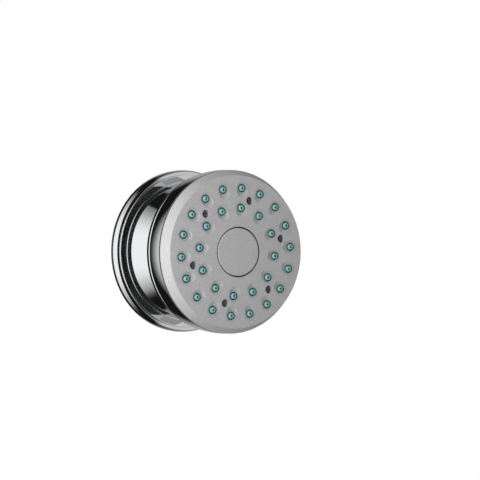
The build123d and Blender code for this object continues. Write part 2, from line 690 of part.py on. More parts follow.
PIECES = {
    "escutcheon": make_escutcheon,
    "wall_gasket": make_wall_gasket,
    "inlet_nipple": make_inlet_nipple,
    "strainer": make_strainer,
    "flow_limiter": make_flow_limiter,
    "limiter_oring": make_limiter_oring,
    "sleeve_holder": make_sleeve_holder,
    "sleeve_oring": make_sleeve_oring,
    "holder_nut": make_holder_nut,
    "stem_washer": make_stem_washer,
    "ball_stem": make_ball_stem,
    "rear_slip_ring": lambda: make_slip_ring(REAR_RING_SPAN),
    "front_slip_ring": lambda: make_slip_ring(FRONT_RING_SPAN),
    "ball_seal": make_ball_seal,
    "union_nut": make_union_nut,
    "head_cup": make_head_cup,
    "valve_seat": make_valve_seat,
    "jet_carrier": make_jet_carrier,
    "jet_mat": make_jet_mat,
    "face_plate": make_face_plate,
    "face_oring": make_face_oring,
    "face_screws": make_face_screws,
    "stem_oring": make_stem_oring,
    "stop_button": make_stop_button,
    "valve_plunger": make_valve_plunger,
    "plunger_washer": make_plunger_washer,
    "button_spring": make_button_spring,
}

FACING = Rot(90, 0, 0)          # lays the upright pieces over so that the jets point along -Y

os.makedirs("parts", exist_ok=True)
for name, make in PIECES.items():
    export_step(FACING * make(), os.path.join("parts", name + ".step"))
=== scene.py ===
"""Looks of the wall-mounted shower body jet: finishes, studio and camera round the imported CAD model.

Metres, but for the sections of turned pieces, which are in millimetres. The jets point along -Y, +Z is
up and the wall plane is y = 0. Azimuth is 0 straight in front of the jets and positive towards +X.
"""
import cmath
import json
import math

import bpy
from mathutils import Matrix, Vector


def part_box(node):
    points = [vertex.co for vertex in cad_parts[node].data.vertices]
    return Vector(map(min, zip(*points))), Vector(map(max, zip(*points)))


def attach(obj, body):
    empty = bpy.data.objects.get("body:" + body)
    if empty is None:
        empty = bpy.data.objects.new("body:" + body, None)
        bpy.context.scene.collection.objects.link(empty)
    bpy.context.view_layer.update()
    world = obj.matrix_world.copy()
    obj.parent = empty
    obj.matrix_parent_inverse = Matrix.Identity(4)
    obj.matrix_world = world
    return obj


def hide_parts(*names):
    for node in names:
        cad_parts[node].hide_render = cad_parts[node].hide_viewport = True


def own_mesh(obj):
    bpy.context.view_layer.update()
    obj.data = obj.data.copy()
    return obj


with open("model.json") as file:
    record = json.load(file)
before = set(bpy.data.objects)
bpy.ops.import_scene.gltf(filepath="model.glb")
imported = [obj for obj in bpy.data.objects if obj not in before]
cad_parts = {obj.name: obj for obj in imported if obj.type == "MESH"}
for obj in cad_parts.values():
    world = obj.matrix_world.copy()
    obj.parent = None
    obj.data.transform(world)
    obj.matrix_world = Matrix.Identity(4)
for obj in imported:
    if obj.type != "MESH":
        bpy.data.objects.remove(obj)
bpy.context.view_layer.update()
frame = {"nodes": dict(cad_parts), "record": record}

MM = 0.001

# Camera, fitted to the two rings of jets
CAMERA_AZIMUTH = -31.88         # degrees
CAMERA_ELEVATION = 0.41
CAMERA_DISTANCE = 2.023         # to the plane of the outer jets' tips
CAMERA_AIM_RIGHT = 1.54 * MM    # image centre from the centre of that plane
CAMERA_AIM_UP = 6.8 * MM
FOCAL_PIXELS = 3552
IMAGE_PIXELS = 480
SENSOR = 36.0
JET_TIP_PLANE = -62.6 * MM

# Light
AMBIENT = 0.46                  # even light on matt surfaces
DARK_ROOM = 0.008               # what polished metal mirrors between the panels
KEY_LAMP = {"azimuth": -63, "elevation": 1, "distance": 0.9, "width": 0.4, "height": 1.6, "watts": 25.0}

# Soft panels that polished metal mirrors: level, and in degrees where each rises, is full, falls and ends.
# The left one has softer and steeper ends laid over each other.
PANELS = (
    {"level": 1.0, "azimuth": (-164, -132, -45, -39),
     "elevations": [(-82, -20, 20, 82), (-72, -55, 63, 67)]},
    {"level": 0.62, "azimuth": (8, 26, 80, 135), "elevations": [(-85, -50, 50, 85)]},
    {"level": 0.36, "azimuth": (110, 140, 155, 170), "elevations": [(-80, -40, 40, 80)]},
)

# Floor
FLOOR_DROP = 0.160              # under the jet axis
FLOOR_RADIUS = 0.30
FLOOR_SIDES = 96

# The cup's back is bare dark moulding in the middle, and painted shade darkens its front edge in the seam
BARE_BACK_RADIUS = 38.0 * MM
BARE_BACK_PLANE = -38.3 * MM
SEAM_SHADE_PLANE = -53.9 * MM
PLATE_EDGE = 0.1 * MM

# From here to the pipe thread, sizes are in millimetres, from the jet axis or forward of the wall
TURNED_SIDES = 288
ARC_STEP = 7.5                  # degrees along a section's arcs
SHORTEST_STRIP = 0.02           # parts of a section that end closer than this meet

# Rings round the jet axis: radius, count, first angle in degrees from +X towards the top
HEAD_RADIUS = 46.8
JET_RINGS = ((0.78 * HEAD_RADIUS, 18, 4.26), (0.538 * HEAD_RADIUS, 12, 24.34))
SCREW_RING = (0.645 * HEAD_RADIUS, 6, 14.26)
JET_SHADE_FULL = 2.8                 # painted shade darkens the plate round each jet and clears further out
JET_SHADE_END = 4.8
JET_SHADE_DEPTH = 0.13

# Escutcheon
FLANGE_RADIUS = 47.2
FLANGE_SIDE = 2.7               # wall to the rounded edge
FLANGE_DRAFT = 0.2              # how much the side narrows towards the wall
FLANGE_EDGE_ROUND = 3.2
FLANGE_BACK_ROUND = 0.3         # edge against the wall
GASKET_RECESS = 44.8
GASKET_THICK = 1.0
STEP_RADIUS = 44.55             # first low step
STEP_FRONT = 6.6
STEP_ROUND = 0.7
FOOT_RADIUS = 40.45             # second low step, round the foot of the neck
FOOT_FRONT = 7.25
FOOT_ROUND = 0.6
CONE_RADIUS = 37.6              # foot of the neck's cone
CONE_LENGTH = 17.4993
CONE_ROOT_ROUND = 0.4
NECK_RADIUS = 27.9
NECK_FRONT = 32.0
NECK_WALL = 1.5
NECK_BLEND = 12.0               # curve from the cone into the straight neck
NECK_MOUTH_RADIUS = 24.5
NECK_MOUTH_ROUND = 1.5
LAND_RADIUS = 28.4              # land that the holder's ring grips
LAND_BACK = 5.6
LAND_FRONT = 12.2
RELIEF_RADIUS = 38.4            # hollow behind the land
RELIEF_SLOPE = 2.0

# Head cup
HEAD_BACK = 38.0
CUP_FRONT = 54.3
SEAM_EASE = 0.3
CUP_BARREL = 60.0               # radius of the curved side
CUP_WIDEST = 3.5                # front of the side to its widest place
CUP_REAR_ROUND = 1.2
CUP_GROOVE_PLACE = 4.2          # back of the cup to the turned groove round it
CUP_GROOVE_ROUND = 0.9
CUP_GROOVE_DEPTH = 0.6
CUP_WALL = 2.2
CUP_INNER_ROUND = 1.6
CUP_STEP = 51.6                 # step that the face's lip stands over
BALL = 30.0                     # centre of the swivel
SOCKET_RADIUS = 14.2
HUB_RADIUS = 17.0
HUB_START = 0.3                 # ball centre to the back of the hub
HUB_ROOT_ROUND = 1.2
HUB_FLOOR_BACK = 41.8
HUB_FLOOR_FRONT = 43.6
HUB_RIM_FRONT = 44.5
SEAL_BORE = 10.21
SEAL_WALL = 3.0
SEAT_RIM = 9.05                 # recess of the valve seat
SEAT_BORE = 5.0
SCREW_BOSS_RADIUS = 3.8
SCREW_BOSS_SINK = 0.7           # into the cup's back wall
SCREW_BOSS_FRONT = 50.0
SCREW_PILOT = 1.5
SCREW_BOSS_SIDES = 48

# Inlet nipple
NIPPLE_SIDES = 96               # a multiple of 6, so that the hexagon has its corners
NIPPLE_BACK = -13.0
NIPPLE_FRONT = 14.5
THREAD_ROOT = 9.32
THREAD_LEAD = (0.42, 0.5)       # bevel at the inlet: inwards, along
HEX_HALF_FLATS = 12.0
HEX_FRONT = 6.0
HEX_REACH = 14.0                # past the hexagon's corners
HEX_BEVEL = (1.7, 0.9)
NIPPLE_BOSS = 11.5
NIPPLE_BOSS_BEVEL = 0.4
INSERT_RADIUS = 8.0             # inlet for the strainer and the flow limiter
INSERT_FRONT = -4.4
NIPPLE_BORE = 5.5
STEM_SOCKET = 8.05
STEM_SOCKET_BACK = 6.9

# Half-inch pipe thread, 14 threads to the inch, in metres from here on
THREAD_PITCH = 1.814 * MM
PIPE_THREAD = {
    "Root radius": 9.28 * MM, "Depth": 1.19 * MM, "Foot width": 0.88 * THREAD_PITCH,
    "Crest width": 0.2 * THREAD_PITCH, "Turns": 10.9 * MM / THREAD_PITCH, "Length": 10.9 * MM,
    "Start": 1.1 * MM}
THREAD_ENDS = (0, 0.06, 0.9, 1)  # shares of its length where the ridge rises, is full, falls and ends
THREAD_END_SIZE = 0.1

# Spring behind the button
SPRING_TURNS = 3.0
SPRING_WIRE = 0.4 * MM          # wire radius
SPRING_RADIUS = 7.6 * MM        # axis to the middle of the wire

WINDING_STEPS = 64              # for each turn
WIRE_SIDES = 24
SHARP_ANGLE = 28                # degrees


class Wire:
    """A socket in a node tree. Arithmetic on it adds Math nodes."""

    def __init__(self, tree, socket):
        self.tree = tree
        self.socket = socket

    def math(self, operation, *values):
        return self.tree.node("ShaderNodeMath", {"operation": operation}, dict(enumerate(values)))

    def __add__(self, other):
        return self.math("ADD", self, other)

    def __sub__(self, other):
        return self.math("SUBTRACT", self, other)

    def __mul__(self, other):
        return self.math("MULTIPLY", self, other)

    def __radd__(self, other):
        return self.math("ADD", other, self)

    def __rsub__(self, other):
        return self.math("SUBTRACT", other, self)

    def __rmul__(self, other):
        return self.math("MULTIPLY", other, self)

    def __neg__(self):
        return self.math("MULTIPLY", self, -1)

    def root(self):
        return self.math("SQRT", self)

    def step(self, low, high):
        """Smooth rise from 0 at low to 1 at high."""
        limits = {"Value": self, "From Min": low, "From Max": high}
        return self.tree.node("ShaderNodeMapRange", {"interpolation_type": "SMOOTHSTEP"}, limits)

    def band(self, rise, full, fall, end):
        """Smooth rise from 0 at rise to 1 at full, and back from 1 at fall to 0 at end."""
        return self.step(rise, full) * (1 - self.step(fall, end))


class Tree:
    """A node tree, emptied, that hands out its sockets as wires."""

    def __init__(self, node_tree):
        self.nodes = node_tree.nodes
        self.links = node_tree.links
        self.nodes.clear()

    def node(self, kind, settings=None, inputs=None, output=0):
        """Adds a node and returns one of its outputs.

        Its settings come first, then a value, a wire or a list of wires for each socket.
        """
        made = self.nodes.new(kind)
        for name, value in (settings or {}).items():
            setattr(made, name, value)
        for name, value in (inputs or {}).items():
            wires = value if isinstance(value, list) else [value]
            if isinstance(wires[0], Wire):
                for wire in wires:
                    self.links.new(wire.socket, made.inputs[name])
            else:
                made.inputs[name].default_value = value
        return Wire(self, made.outputs[output]) if made.outputs else made

    def axes(self, wire):
        split = self.node("ShaderNodeSeparateXYZ", {}, {0: wire})
        return [Wire(self, socket) for socket in split.socket.node.outputs]

    def vector(self, **axes):
        return self.node("ShaderNodeCombineXYZ", {}, axes)

    def place(self):
        """Object coordinates, in metres in the part's frame."""
        return self.node("ShaderNodeTexCoord", output="Object")

    def noise(self, place, size, detail=2.0, roughness=0.5):
        """Noise from 0 to 1 whose patches are about one size across."""
        return self.node("ShaderNodeTexNoise", {}, {
            "Vector": place, "Scale": 1 / size, "Detail": detail, "Roughness": roughness})

    def blend(self, share, first, second):
        """Colour from first to second by share."""
        colours = {6: self.colour(first), 7: self.colour(second)}
        return self.node("ShaderNodeMix", {"data_type": "RGBA"}, {0: share, **colours}, output=2)

    @staticmethod
    def colour(value):
        return value if isinstance(value, Wire) else (*value, 1)

    def bump(self, height, depth, strength=1.0):
        return self.node("ShaderNodeBump", {}, {"Height": height, "Distance": depth, "Strength": strength})


# Finishes: each function gives the shader's sockets that vary over the surface

def polished_chrome(tree):
    place = tree.place()
    wiped = tree.noise(place, 14 * MM, detail=4)
    haze = tree.noise(place, 1.2 * MM, detail=3)
    return {
        "Base Color": tree.blend(wiped, (0.80, 0.81, 0.82), (0.86, 0.865, 0.87)),
        "Roughness": 0.025 + 0.02 * wiped + 0.01 * haze,
    }


def plated_shell(tree):
    """Polished chrome, bare and dark in the middle of the back, and with painted shade in the seam."""
    x, y, z = tree.axes(tree.place())
    outside = (x * x + z * z).root().step(BARE_BACK_RADIUS - PLATE_EDGE, BARE_BACK_RADIUS + PLATE_EDGE)
    back = (1 - outside) * y.step(BARE_BACK_PLANE - PLATE_EDGE, BARE_BACK_PLANE + PLATE_EDGE)
    # Painted shade: forward of the seam plane the cup is coloured dark and matt, like the bare back.
    bare_back_and_seam_shade = back + 1 - y.step(SEAM_SHADE_PLANE - PLATE_EDGE, SEAM_SHADE_PLANE + PLATE_EDGE)
    plated = polished_chrome(tree)
    dark_mottle = tree.noise(tree.place(), 0.5 * MM, detail=3)
    dark = tree.blend(dark_mottle, (0.040, 0.041, 0.043), (0.050, 0.051, 0.053))
    return {
        "Base Color": tree.blend(bare_back_and_seam_shade, plated["Base Color"], dark),
        "Roughness": plated["Roughness"] * (1 - bare_back_and_seam_shade) + bare_back_and_seam_shade * (0.5 + 0.1 * dark_mottle),
        "Metallic": 1 - bare_back_and_seam_shade,
    }


def jet_shade_mask(tree, place):
    """Mask of painted shade: 1 round every jet, falling to 0 outside its dimple."""
    x, _, z = tree.axes(place)
    radius = (x * x + z * z).root()
    angle = z.math("ARCTAN2", z, x) * math.degrees(1)
    near = 0
    for ring, count, first in JET_RINGS:
        turn = angle.math("WRAP", (angle - first) * (count / 360), 0.5, -0.5)
        along = turn * (2 * math.pi * ring * MM / count)
        across = radius - ring * MM
        near += 1 - (along * along + across * across).root().step(JET_SHADE_FULL * MM, JET_SHADE_END * MM)
    return near


def satin_plate(tree):
    place = tree.place()
    grain = tree.noise(place, 0.6 * MM, detail=3, roughness=0.6)
    cloud = tree.noise(place, 9 * MM, detail=3)
    plate = tree.blend(0.15 * cloud + 0.85 * grain, (0.25, 0.25, 0.25), (0.61, 0.61, 0.61))
    return {
        # Painted shade darkens the plate round each jet.
        "Base Color": tree.blend(JET_SHADE_DEPTH * jet_shade_mask(tree, place), plate, (0, 0, 0)),
        "Roughness": 0.5 + 0.08 * grain,
        "Normal": tree.bump(grain, 0.012 * MM, 0.4),
    }


def teal_silicone(tree):
    place = tree.place()
    bloom = tree.noise(place, 0.6 * MM, detail=3)
    depth = tree.noise(place, 4 * MM)
    return {
        "Base Color": tree.blend(depth, (0.098, 0.245, 0.238), (0.114, 0.285, 0.272)),
        "Roughness": 0.34 + 0.12 * bloom,
        "Normal": tree.bump(bloom, 0.02 * MM, 0.25),
    }


def turned_brass(tree):
    place = tree.place()
    _, y, _ = tree.axes(place)
    marks = tree.noise(tree.vector(Y=y), 0.12 * MM, detail=2)
    tarnish = tree.noise(place, 5 * MM, detail=4)
    return {
        "Base Color": tree.blend(tarnish, (0.70, 0.50, 0.22), (0.80, 0.62, 0.32)),
        "Roughness": 0.24 + 0.14 * tarnish,
        "Normal": tree.bump(marks, 0.015 * MM, 0.5),
    }


def acetal(light, dark):
    def moulded(tree):
        place = tree.place()
        flow = tree.noise(place, 6 * MM, detail=3)
        matt = tree.noise(place, 0.3 * MM, detail=2)
        return {
            "Base Color": tree.blend(flow, dark, light),
            "Roughness": 0.38 + 0.12 * matt,
            "Normal": tree.bump(matt, 0.01 * MM, 0.3),
        }
    return moulded


def seal_rubber(tree):
    place = tree.place()
    dust = tree.noise(place, 1.5 * MM, detail=4)
    skin = tree.noise(place, 0.2 * MM)
    return {
        "Base Color": tree.blend(dust, (0.018, 0.018, 0.019), (0.035, 0.035, 0.036)),
        "Roughness": 0.5 + 0.2 * dust,
        "Normal": tree.bump(skin, 0.01 * MM, 0.4),
    }


def gasket_foam(tree):
    cells = tree.node("ShaderNodeTexVoronoi", {}, {"Vector": tree.place(), "Scale": 1 / (0.5 * MM)})
    return {
        "Base Color": tree.blend(cells, (0.05, 0.05, 0.055), (0.13, 0.13, 0.135)),
        "Roughness": 0.75 + 0.2 * cells,
        "Normal": tree.bump(cells, 0.08 * MM, 0.6),
    }


def bright_steel(tree):
    brush = tree.noise(tree.place(), 0.25 * MM, detail=3)
    return {
        "Base Color": tree.blend(brush, (0.50, 0.50, 0.51), (0.62, 0.62, 0.63)),
        "Roughness": 0.2 + 0.15 * brush,
        "Normal": tree.bump(brush, 0.01 * MM, 0.3),
    }


def grey_steel(tree):
    bloom = tree.noise(tree.place(), 0.5 * MM, detail=3)
    return {
        "Base Color": tree.blend(bloom, (0.28, 0.28, 0.285), (0.38, 0.38, 0.385)),
        "Roughness": 0.45 + 0.15 * bloom,
        "Normal": tree.bump(bloom, 0.01 * MM, 0.3),
    }


def pale_floor(tree):
    speckle = tree.noise(tree.place(), 4 * MM, detail=3)
    return {"Base Color": tree.blend(speckle, (0.80, 0.80, 0.80), (0.84, 0.84, 0.84))}


def finish(name, surface, **constants):
    """A material from a function that gives its varying sockets, and from constant ones."""
    material = bpy.data.materials.new(name)
    material.use_nodes = True
    tree = Tree(material.node_tree)
    shader = tree.node("ShaderNodeBsdfPrincipled", {}, {**constants, **surface(tree)})
    tree.node("ShaderNodeOutputMaterial", {}, {"Surface": shader})
    return material


chrome = finish("polished chrome", polished_chrome, Metallic=1.0)
white_acetal = acetal(light=(0.80, 0.80, 0.77), dark=(0.74, 0.74, 0.70))
grey_acetal = acetal(light=(0.26, 0.265, 0.27), dark=(0.21, 0.215, 0.22))
FINISHES = {
    "chrome_brass": chrome,
    "chrome_shell": finish("plated shell", plated_shell),
    "chrome_fitting": chrome,
    "brass": finish("turned brass", turned_brass, Metallic=1.0),
    "satin_face": finish("satin plate", satin_plate, Metallic=0.52),
    "jet_silicone": finish("teal silicone", teal_silicone, **{
        "Subsurface Weight": 0.1, "Subsurface Radius": (0.4, 1.0, 0.9), "Subsurface Scale": 0.3 * MM}),
    "white_acetal": finish("white acetal", white_acetal),
    "grey_acetal": finish("grey acetal", grey_acetal),
    "seal_rubber": finish("seal rubber", seal_rubber),
    "gasket_foam": finish("gasket foam", gasket_foam),
    "steel": finish("bright steel", bright_steel, Metallic=1.0),
}
OWN_FINISHES = {"face_screws": finish("grey steel", grey_steel, Metallic=0.4)}


def dress_cad_nodes():
    for subpart in frame["record"]["subparts"]:
        for slot in frame["nodes"][subpart["node"]].material_slots:
            slot.material = OWN_FINISHES.get(subpart["node"], FINISHES[subpart["material_slot"]])


def add_piece(name, mesh, node, body):
    """A piece that stands for a CAD node of the same form."""
    piece = bpy.data.objects.new(name, mesh)
    bpy.context.scene.collection.objects.link(piece)
    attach(piece, body)
    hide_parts(node)
    return piece


# Turned pieces. A point of a section is its radius plus 1j times its distance forward of the wall.
# A part of a section is a list of (point, normal), and a section runs anticlockwise.

def curved(centre, radius, first, last):
    """Part of a section: an arc between two angles in degrees, hollow where it runs clockwise."""
    steps = max(2, round(abs(last - first) / ARC_STEP))
    out = 1 if last > first else -1
    aims = [cmath.rect(1, math.radians(first + (last - first) * k / steps)) for k in range(steps + 1)]
    return [(centre + radius * aim, out * aim) for aim in aims]


def cornered(corners):
    """Parts of a section through (radius, forward) corners. A third value rounds that corner."""
    points = [complex(*corner[:2]) for corner in corners]
    parts = []
    for index, corner in enumerate(corners):
        if len(corner) == 2:
            parts.append([(points[index], None)])
            continue
        back, ahead = [way / abs(way) for way in (points[index - 1] - points[index],
                                                  points[index + 1] - points[index])]
        half = abs(cmath.phase(ahead / back)) / 2
        middle = (back + ahead) / abs(back + ahead) * corner[2] / math.sin(half)
        start, end = [way * corner[2] / math.tan(half) - middle for way in (back, ahead)]
        first = math.degrees(cmath.phase(start))
        parts.append(curved(points[index] + middle, corner[2], first,
                            first + math.degrees(cmath.phase(end / start))))
    return parts


def section_strips(parts):
    """Strips round a closed section: each one's start, and the normals at its start and end."""
    strips = []
    for part, following in zip(parts, parts[1:] + parts[:1]):
        strips += [(start, first, last) for (start, first), (_, last) in zip(part, part[1:])]
        start = part[-1][0]
        way = following[0][0] - start
        if abs(way) > SHORTEST_STRIP:
            out = -1j * way / abs(way)
            strips.append((start, out, out))
    return strips


def turned_mesh(name, turnings, slot):
    """Mesh with true normals of (section, sides, axis) turnings about +Y, the axis as x + z * 1j."""
    points, faces, normals = [], [], []
    for section, sides, axis in turnings:
        strips = section_strips(section)
        count = len(strips)
        first = len(points)
        aims = [cmath.rect(1, 2 * math.pi * side / sides) for side in range(sides)]
        for side, aim in enumerate(aims):
            following = (side + 1) % sides
            next_aim = aims[following]
            for index, (start, normal, last) in enumerate(strips):
                place = axis + start.real * aim
                points.append((place.real * MM, -start.imag * MM, place.imag * MM))
                after = (index + 1) % count
                corners = ((side, index), (following, index), (following, after), (side, after))
                faces.append([first + turn * count + strip for turn, strip in corners])
                for out, way in ((normal, aim), (normal, next_aim), (last, next_aim), (last, aim)):
                    normals.append((out.real * way.real, -out.imag, out.real * way.imag))
    mesh = bpy.data.meshes.new(name)
    mesh.from_pydata(points, [], faces)
    mesh.shade_smooth()
    mesh.normals_split_custom_set(normals)
    mesh.materials.append(FINISHES[slot])
    return mesh


def escutcheon_section():
    """Wall flange with a rounded edge and two low steps, conical neck, and the hollow behind them."""
    edge_centre = complex(FLANGE_RADIUS - FLANGE_EDGE_ROUND, FLANGE_SIDE)
    edge_turn = math.acos((STEP_RADIUS - edge_centre.real) / FLANGE_EDGE_ROUND)
    edge = curved(edge_centre, FLANGE_EDGE_ROUND, 0, math.degrees(edge_turn))
    lip_back = NECK_FRONT - NECK_WALL
    neck_bore = NECK_RADIUS - NECK_WALL
    return [edge] + cornered([
        (STEP_RADIUS, FLANGE_SIDE + FLANGE_EDGE_ROUND * math.sin(edge_turn)),
        (STEP_RADIUS, STEP_FRONT, STEP_ROUND),
        (FOOT_RADIUS, STEP_FRONT),
        (FOOT_RADIUS, FOOT_FRONT, FOOT_ROUND),
        (CONE_RADIUS, FOOT_FRONT, CONE_ROOT_ROUND),
        (NECK_RADIUS, FOOT_FRONT + CONE_LENGTH, NECK_BLEND),
        (NECK_RADIUS, NECK_FRONT, NECK_MOUTH_ROUND),
        (NECK_MOUTH_RADIUS, NECK_FRONT),
        (NECK_MOUTH_RADIUS, lip_back),
        (neck_bore, lip_back),
        (neck_bore, LAND_FRONT),
        (LAND_RADIUS, LAND_FRONT),
        (LAND_RADIUS, LAND_BACK),
        (RELIEF_RADIUS, LAND_BACK - RELIEF_SLOPE),
        (RELIEF_RADIUS, GASKET_THICK),
        (GASKET_RECESS, GASKET_THICK),
        (GASKET_RECESS, 0),
        (FLANGE_RADIUS - FLANGE_DRAFT, 0, FLANGE_BACK_ROUND),
        (FLANGE_RADIUS, FLANGE_SIDE),
    ])


def add_turned_escutcheon():
    mesh = turned_mesh("escutcheon", [(escutcheon_section(), TURNED_SIDES, 0)], "chrome_brass")
    add_piece("turned_escutcheon", mesh, "escutcheon", "wall_fitting")


def corner_angle(side, other_side, opposite):
    """Angle in degrees between two sides of a triangle."""
    return math.degrees(math.acos((side**2 + other_side**2 - opposite**2) / (2 * side * other_side)))


def cup_outside(barrel, rear):
    """Rounded rear edge and curved side, with the turned groove."""
    rear_lean = math.degrees(cmath.phase(rear - barrel))
    front_lean = math.degrees(math.asin(CUP_WIDEST / CUP_BARREL))
    groove_place = HEAD_BACK + CUP_GROOVE_PLACE
    side_radius = barrel.real + math.sqrt(CUP_BARREL**2 - (barrel.imag - groove_place)**2)
    groove = complex(side_radius + CUP_GROOVE_ROUND - CUP_GROOVE_DEPTH, groove_place)
    reach = abs(groove - barrel)
    lean = math.degrees(cmath.phase(groove - barrel))
    cut = corner_angle(CUP_BARREL, reach, CUP_GROOVE_ROUND)
    hollow = corner_angle(reach, CUP_GROOVE_ROUND, CUP_BARREL)
    return [
        curved(rear, CUP_REAR_ROUND, -90, rear_lean),
        curved(barrel, CUP_BARREL, rear_lean, lean - cut),
        curved(groove, CUP_GROOVE_ROUND, lean + 180 + hollow, lean + 180 - hollow),
        curved(barrel, CUP_BARREL, lean + cut, front_lean),
    ]


def cup_section():
    """The cup's outside, its inside with the hub's floor, the ball's socket and the hub's outside."""
    widest = CUP_FRONT - SEAM_EASE - CUP_WIDEST
    barrel = complex(HEAD_RADIUS - math.sqrt(CUP_BARREL**2 - CUP_WIDEST**2), widest)
    rear_reach = CUP_BARREL - CUP_REAR_ROUND
    rear = barrel + cmath.rect(rear_reach, math.asin((HEAD_BACK + CUP_REAR_ROUND - widest) / rear_reach))
    bore = HEAD_RADIUS - CUP_WALL
    rear_bore = rear.real + CUP_REAR_ROUND - CUP_WALL
    rear_inner = HEAD_BACK + CUP_WALL
    inside = cornered([
        (HEAD_RADIUS - SEAM_EASE, CUP_FRONT),
        (bore, CUP_FRONT),
        (bore, CUP_STEP),
        (rear_bore, CUP_STEP),
        (rear_bore, rear_inner, CUP_INNER_ROUND),
        (SEAL_BORE + SEAL_WALL, rear_inner),
        (SEAL_BORE + SEAL_WALL, HUB_RIM_FRONT),
        (SEAT_RIM, HUB_RIM_FRONT),
        (SEAT_RIM, HUB_FLOOR_FRONT),
        (SEAT_BORE, HUB_FLOOR_FRONT),
        (SEAT_BORE, HUB_FLOOR_BACK),
        (SEAL_BORE, HUB_FLOOR_BACK),
    ])
    socket = curved(complex(0, BALL), SOCKET_RADIUS, math.degrees(math.acos(SEAL_BORE / SOCKET_RADIUS)),
                    math.degrees(math.asin(HUB_START / SOCKET_RADIUS)))
    hub = cornered([
        (HUB_RADIUS, BALL + HUB_START),
        (HUB_RADIUS, HEAD_BACK, HUB_ROOT_ROUND),
        (rear.real, HEAD_BACK),
    ])
    return cup_outside(barrel, rear) + inside + [socket] + hub


def add_turned_cup():
    boss_back = HEAD_BACK + CUP_WALL - SCREW_BOSS_SINK
    boss = cornered([
        (SCREW_PILOT, boss_back),
        (SCREW_BOSS_RADIUS, boss_back),
        (SCREW_BOSS_RADIUS, SCREW_BOSS_FRONT),
        (SCREW_PILOT, SCREW_BOSS_FRONT),
    ])
    turnings = [(cup_section(), TURNED_SIDES, 0)]
    radius, count, first = SCREW_RING
    for index in range(count):
        axis = cmath.rect(radius, math.radians(first + 360 * index / count))
        turnings.append((boss, SCREW_BOSS_SIDES, axis))
    mesh = turned_mesh("cup", turnings, "chrome_shell")
    add_piece("turned_cup", mesh, "head_cup", "head")


# Wound pieces

def wound_tree(name, sizes):
    """An empty Geometry Nodes group for a wound piece, and wires from its named inputs."""
    group = bpy.data.node_groups.new(name, "GeometryNodeTree")
    group.interface.new_socket("Geometry", in_out="OUTPUT", socket_type="NodeSocketGeometry")
    group.interface.new_socket("Geometry", in_out="INPUT", socket_type="NodeSocketGeometry")
    group.interface.new_socket("Material", in_out="INPUT", socket_type="NodeSocketMaterial")
    for size in sizes:
        group.interface.new_socket(size, in_out="INPUT", socket_type="NodeSocketFloat")
    tree = Tree(group)
    sockets = tree.node("NodeGroupInput").socket.node.outputs
    return group, tree, {socket.name: Wire(tree, socket) for socket in sockets}


def right_hand_spiral(tree, radius, turns, length):
    path = tree.node("GeometryNodeCurveSpiral", {}, {
        "Resolution": WINDING_STEPS, "Rotations": turns, "Start Radius": radius, "End Radius": radius,
        "Height": length, "Reverse": True})
    return tree.node("GeometryNodeSetCurveNormal", {"mode": "Z_UP"}, {"Curve": path})


def close_tree(tree, parts, material):
    whole = tree.node("GeometryNodeJoinGeometry", {}, {0: parts})
    whole = tree.node("GeometryNodeRealizeInstances", {}, {0: whole})
    whole = tree.node("GeometryNodeSetMaterial", {}, {"Geometry": whole, "Material": material})
    tree.node("NodeGroupOutput", {}, {0: whole})


def thread_nodes():
    """Geometry Nodes that wind a thread ridge round a turned body, behind the wall along +Y."""
    group, tree, given = wound_tree("pipe thread", PIPE_THREAD)
    path = right_hand_spiral(tree, given["Root radius"], given["Turns"], given["Length"])
    flanks = tree.node("GeometryNodeCurvePrimitiveQuadrilateral", {"mode": "TRAPEZOID"}, {
        "Bottom Width": given["Foot width"], "Top Width": given["Crest width"], "Height": given["Depth"],
        "Offset": 0.0})
    flanks = tree.node("GeometryNodeTransform", {}, {
        "Geometry": flanks, "Rotation": (0, 0, -math.pi / 2),
        "Translation": tree.vector(X=0.5 * given["Depth"])})
    share = tree.node("GeometryNodeSplineParameter", output="Factor")
    scale = THREAD_END_SIZE + (1 - THREAD_END_SIZE) * share.band(*THREAD_ENDS)
    ridge = tree.node("GeometryNodeCurveToMesh", {}, {
        "Curve": path, "Profile Curve": flanks, "Scale": scale, "Fill Caps": True})
    ridge = tree.node("GeometryNodeTransform", {}, {
        "Geometry": ridge, "Rotation": (-math.pi / 2, 0, 0), "Translation": tree.vector(Y=given["Start"])})
    close_tree(tree, [given["Geometry"], ridge], given["Material"])
    return group


def coil_nodes(sizes):
    """Geometry Nodes that wind round wire forward along -Y."""
    group, tree, given = wound_tree("coil", sizes)
    path = right_hand_spiral(tree, given["Radius"], given["Turns"], given["Height"])
    wire = tree.node("GeometryNodeCurvePrimitiveCircle", {}, {
        "Resolution": WIRE_SIDES, "Radius": given["Wire radius"]})
    coil = tree.node("GeometryNodeCurveToMesh", {}, {
        "Curve": path, "Profile Curve": wire, "Fill Caps": True})
    coil = tree.node("GeometryNodeTransform", {}, {
        "Geometry": coil, "Rotation": (math.pi / 2, 0, 0), "Translation": tree.vector(Y=given["Back"])})
    close_tree(tree, [given["Geometry"], coil], given["Material"])
    return group


def wound_mesh(core, group, sizes, slot):
    """Plain mesh of what a Geometry Nodes group makes round a core mesh."""
    former = bpy.data.objects.new(core.name, core)
    bpy.context.scene.collection.objects.link(former)
    modifier = former.modifiers.new("winding", "NODES")
    modifier.node_group = group
    values = {**sizes, "Material": FINISHES[slot]}
    for socket in group.interface.items_tree:
        if socket.name in values:
            modifier[socket.identifier] = values[socket.name]
    shaped = former.evaluated_get(bpy.context.evaluated_depsgraph_get())
    mesh = bpy.data.meshes.new_from_object(shaped)
    former.modifiers.clear()
    bpy.data.objects.remove(former)
    mesh.shade_smooth()
    mesh.set_sharp_from_angle(angle=math.radians(SHARP_ANGLE))
    return mesh


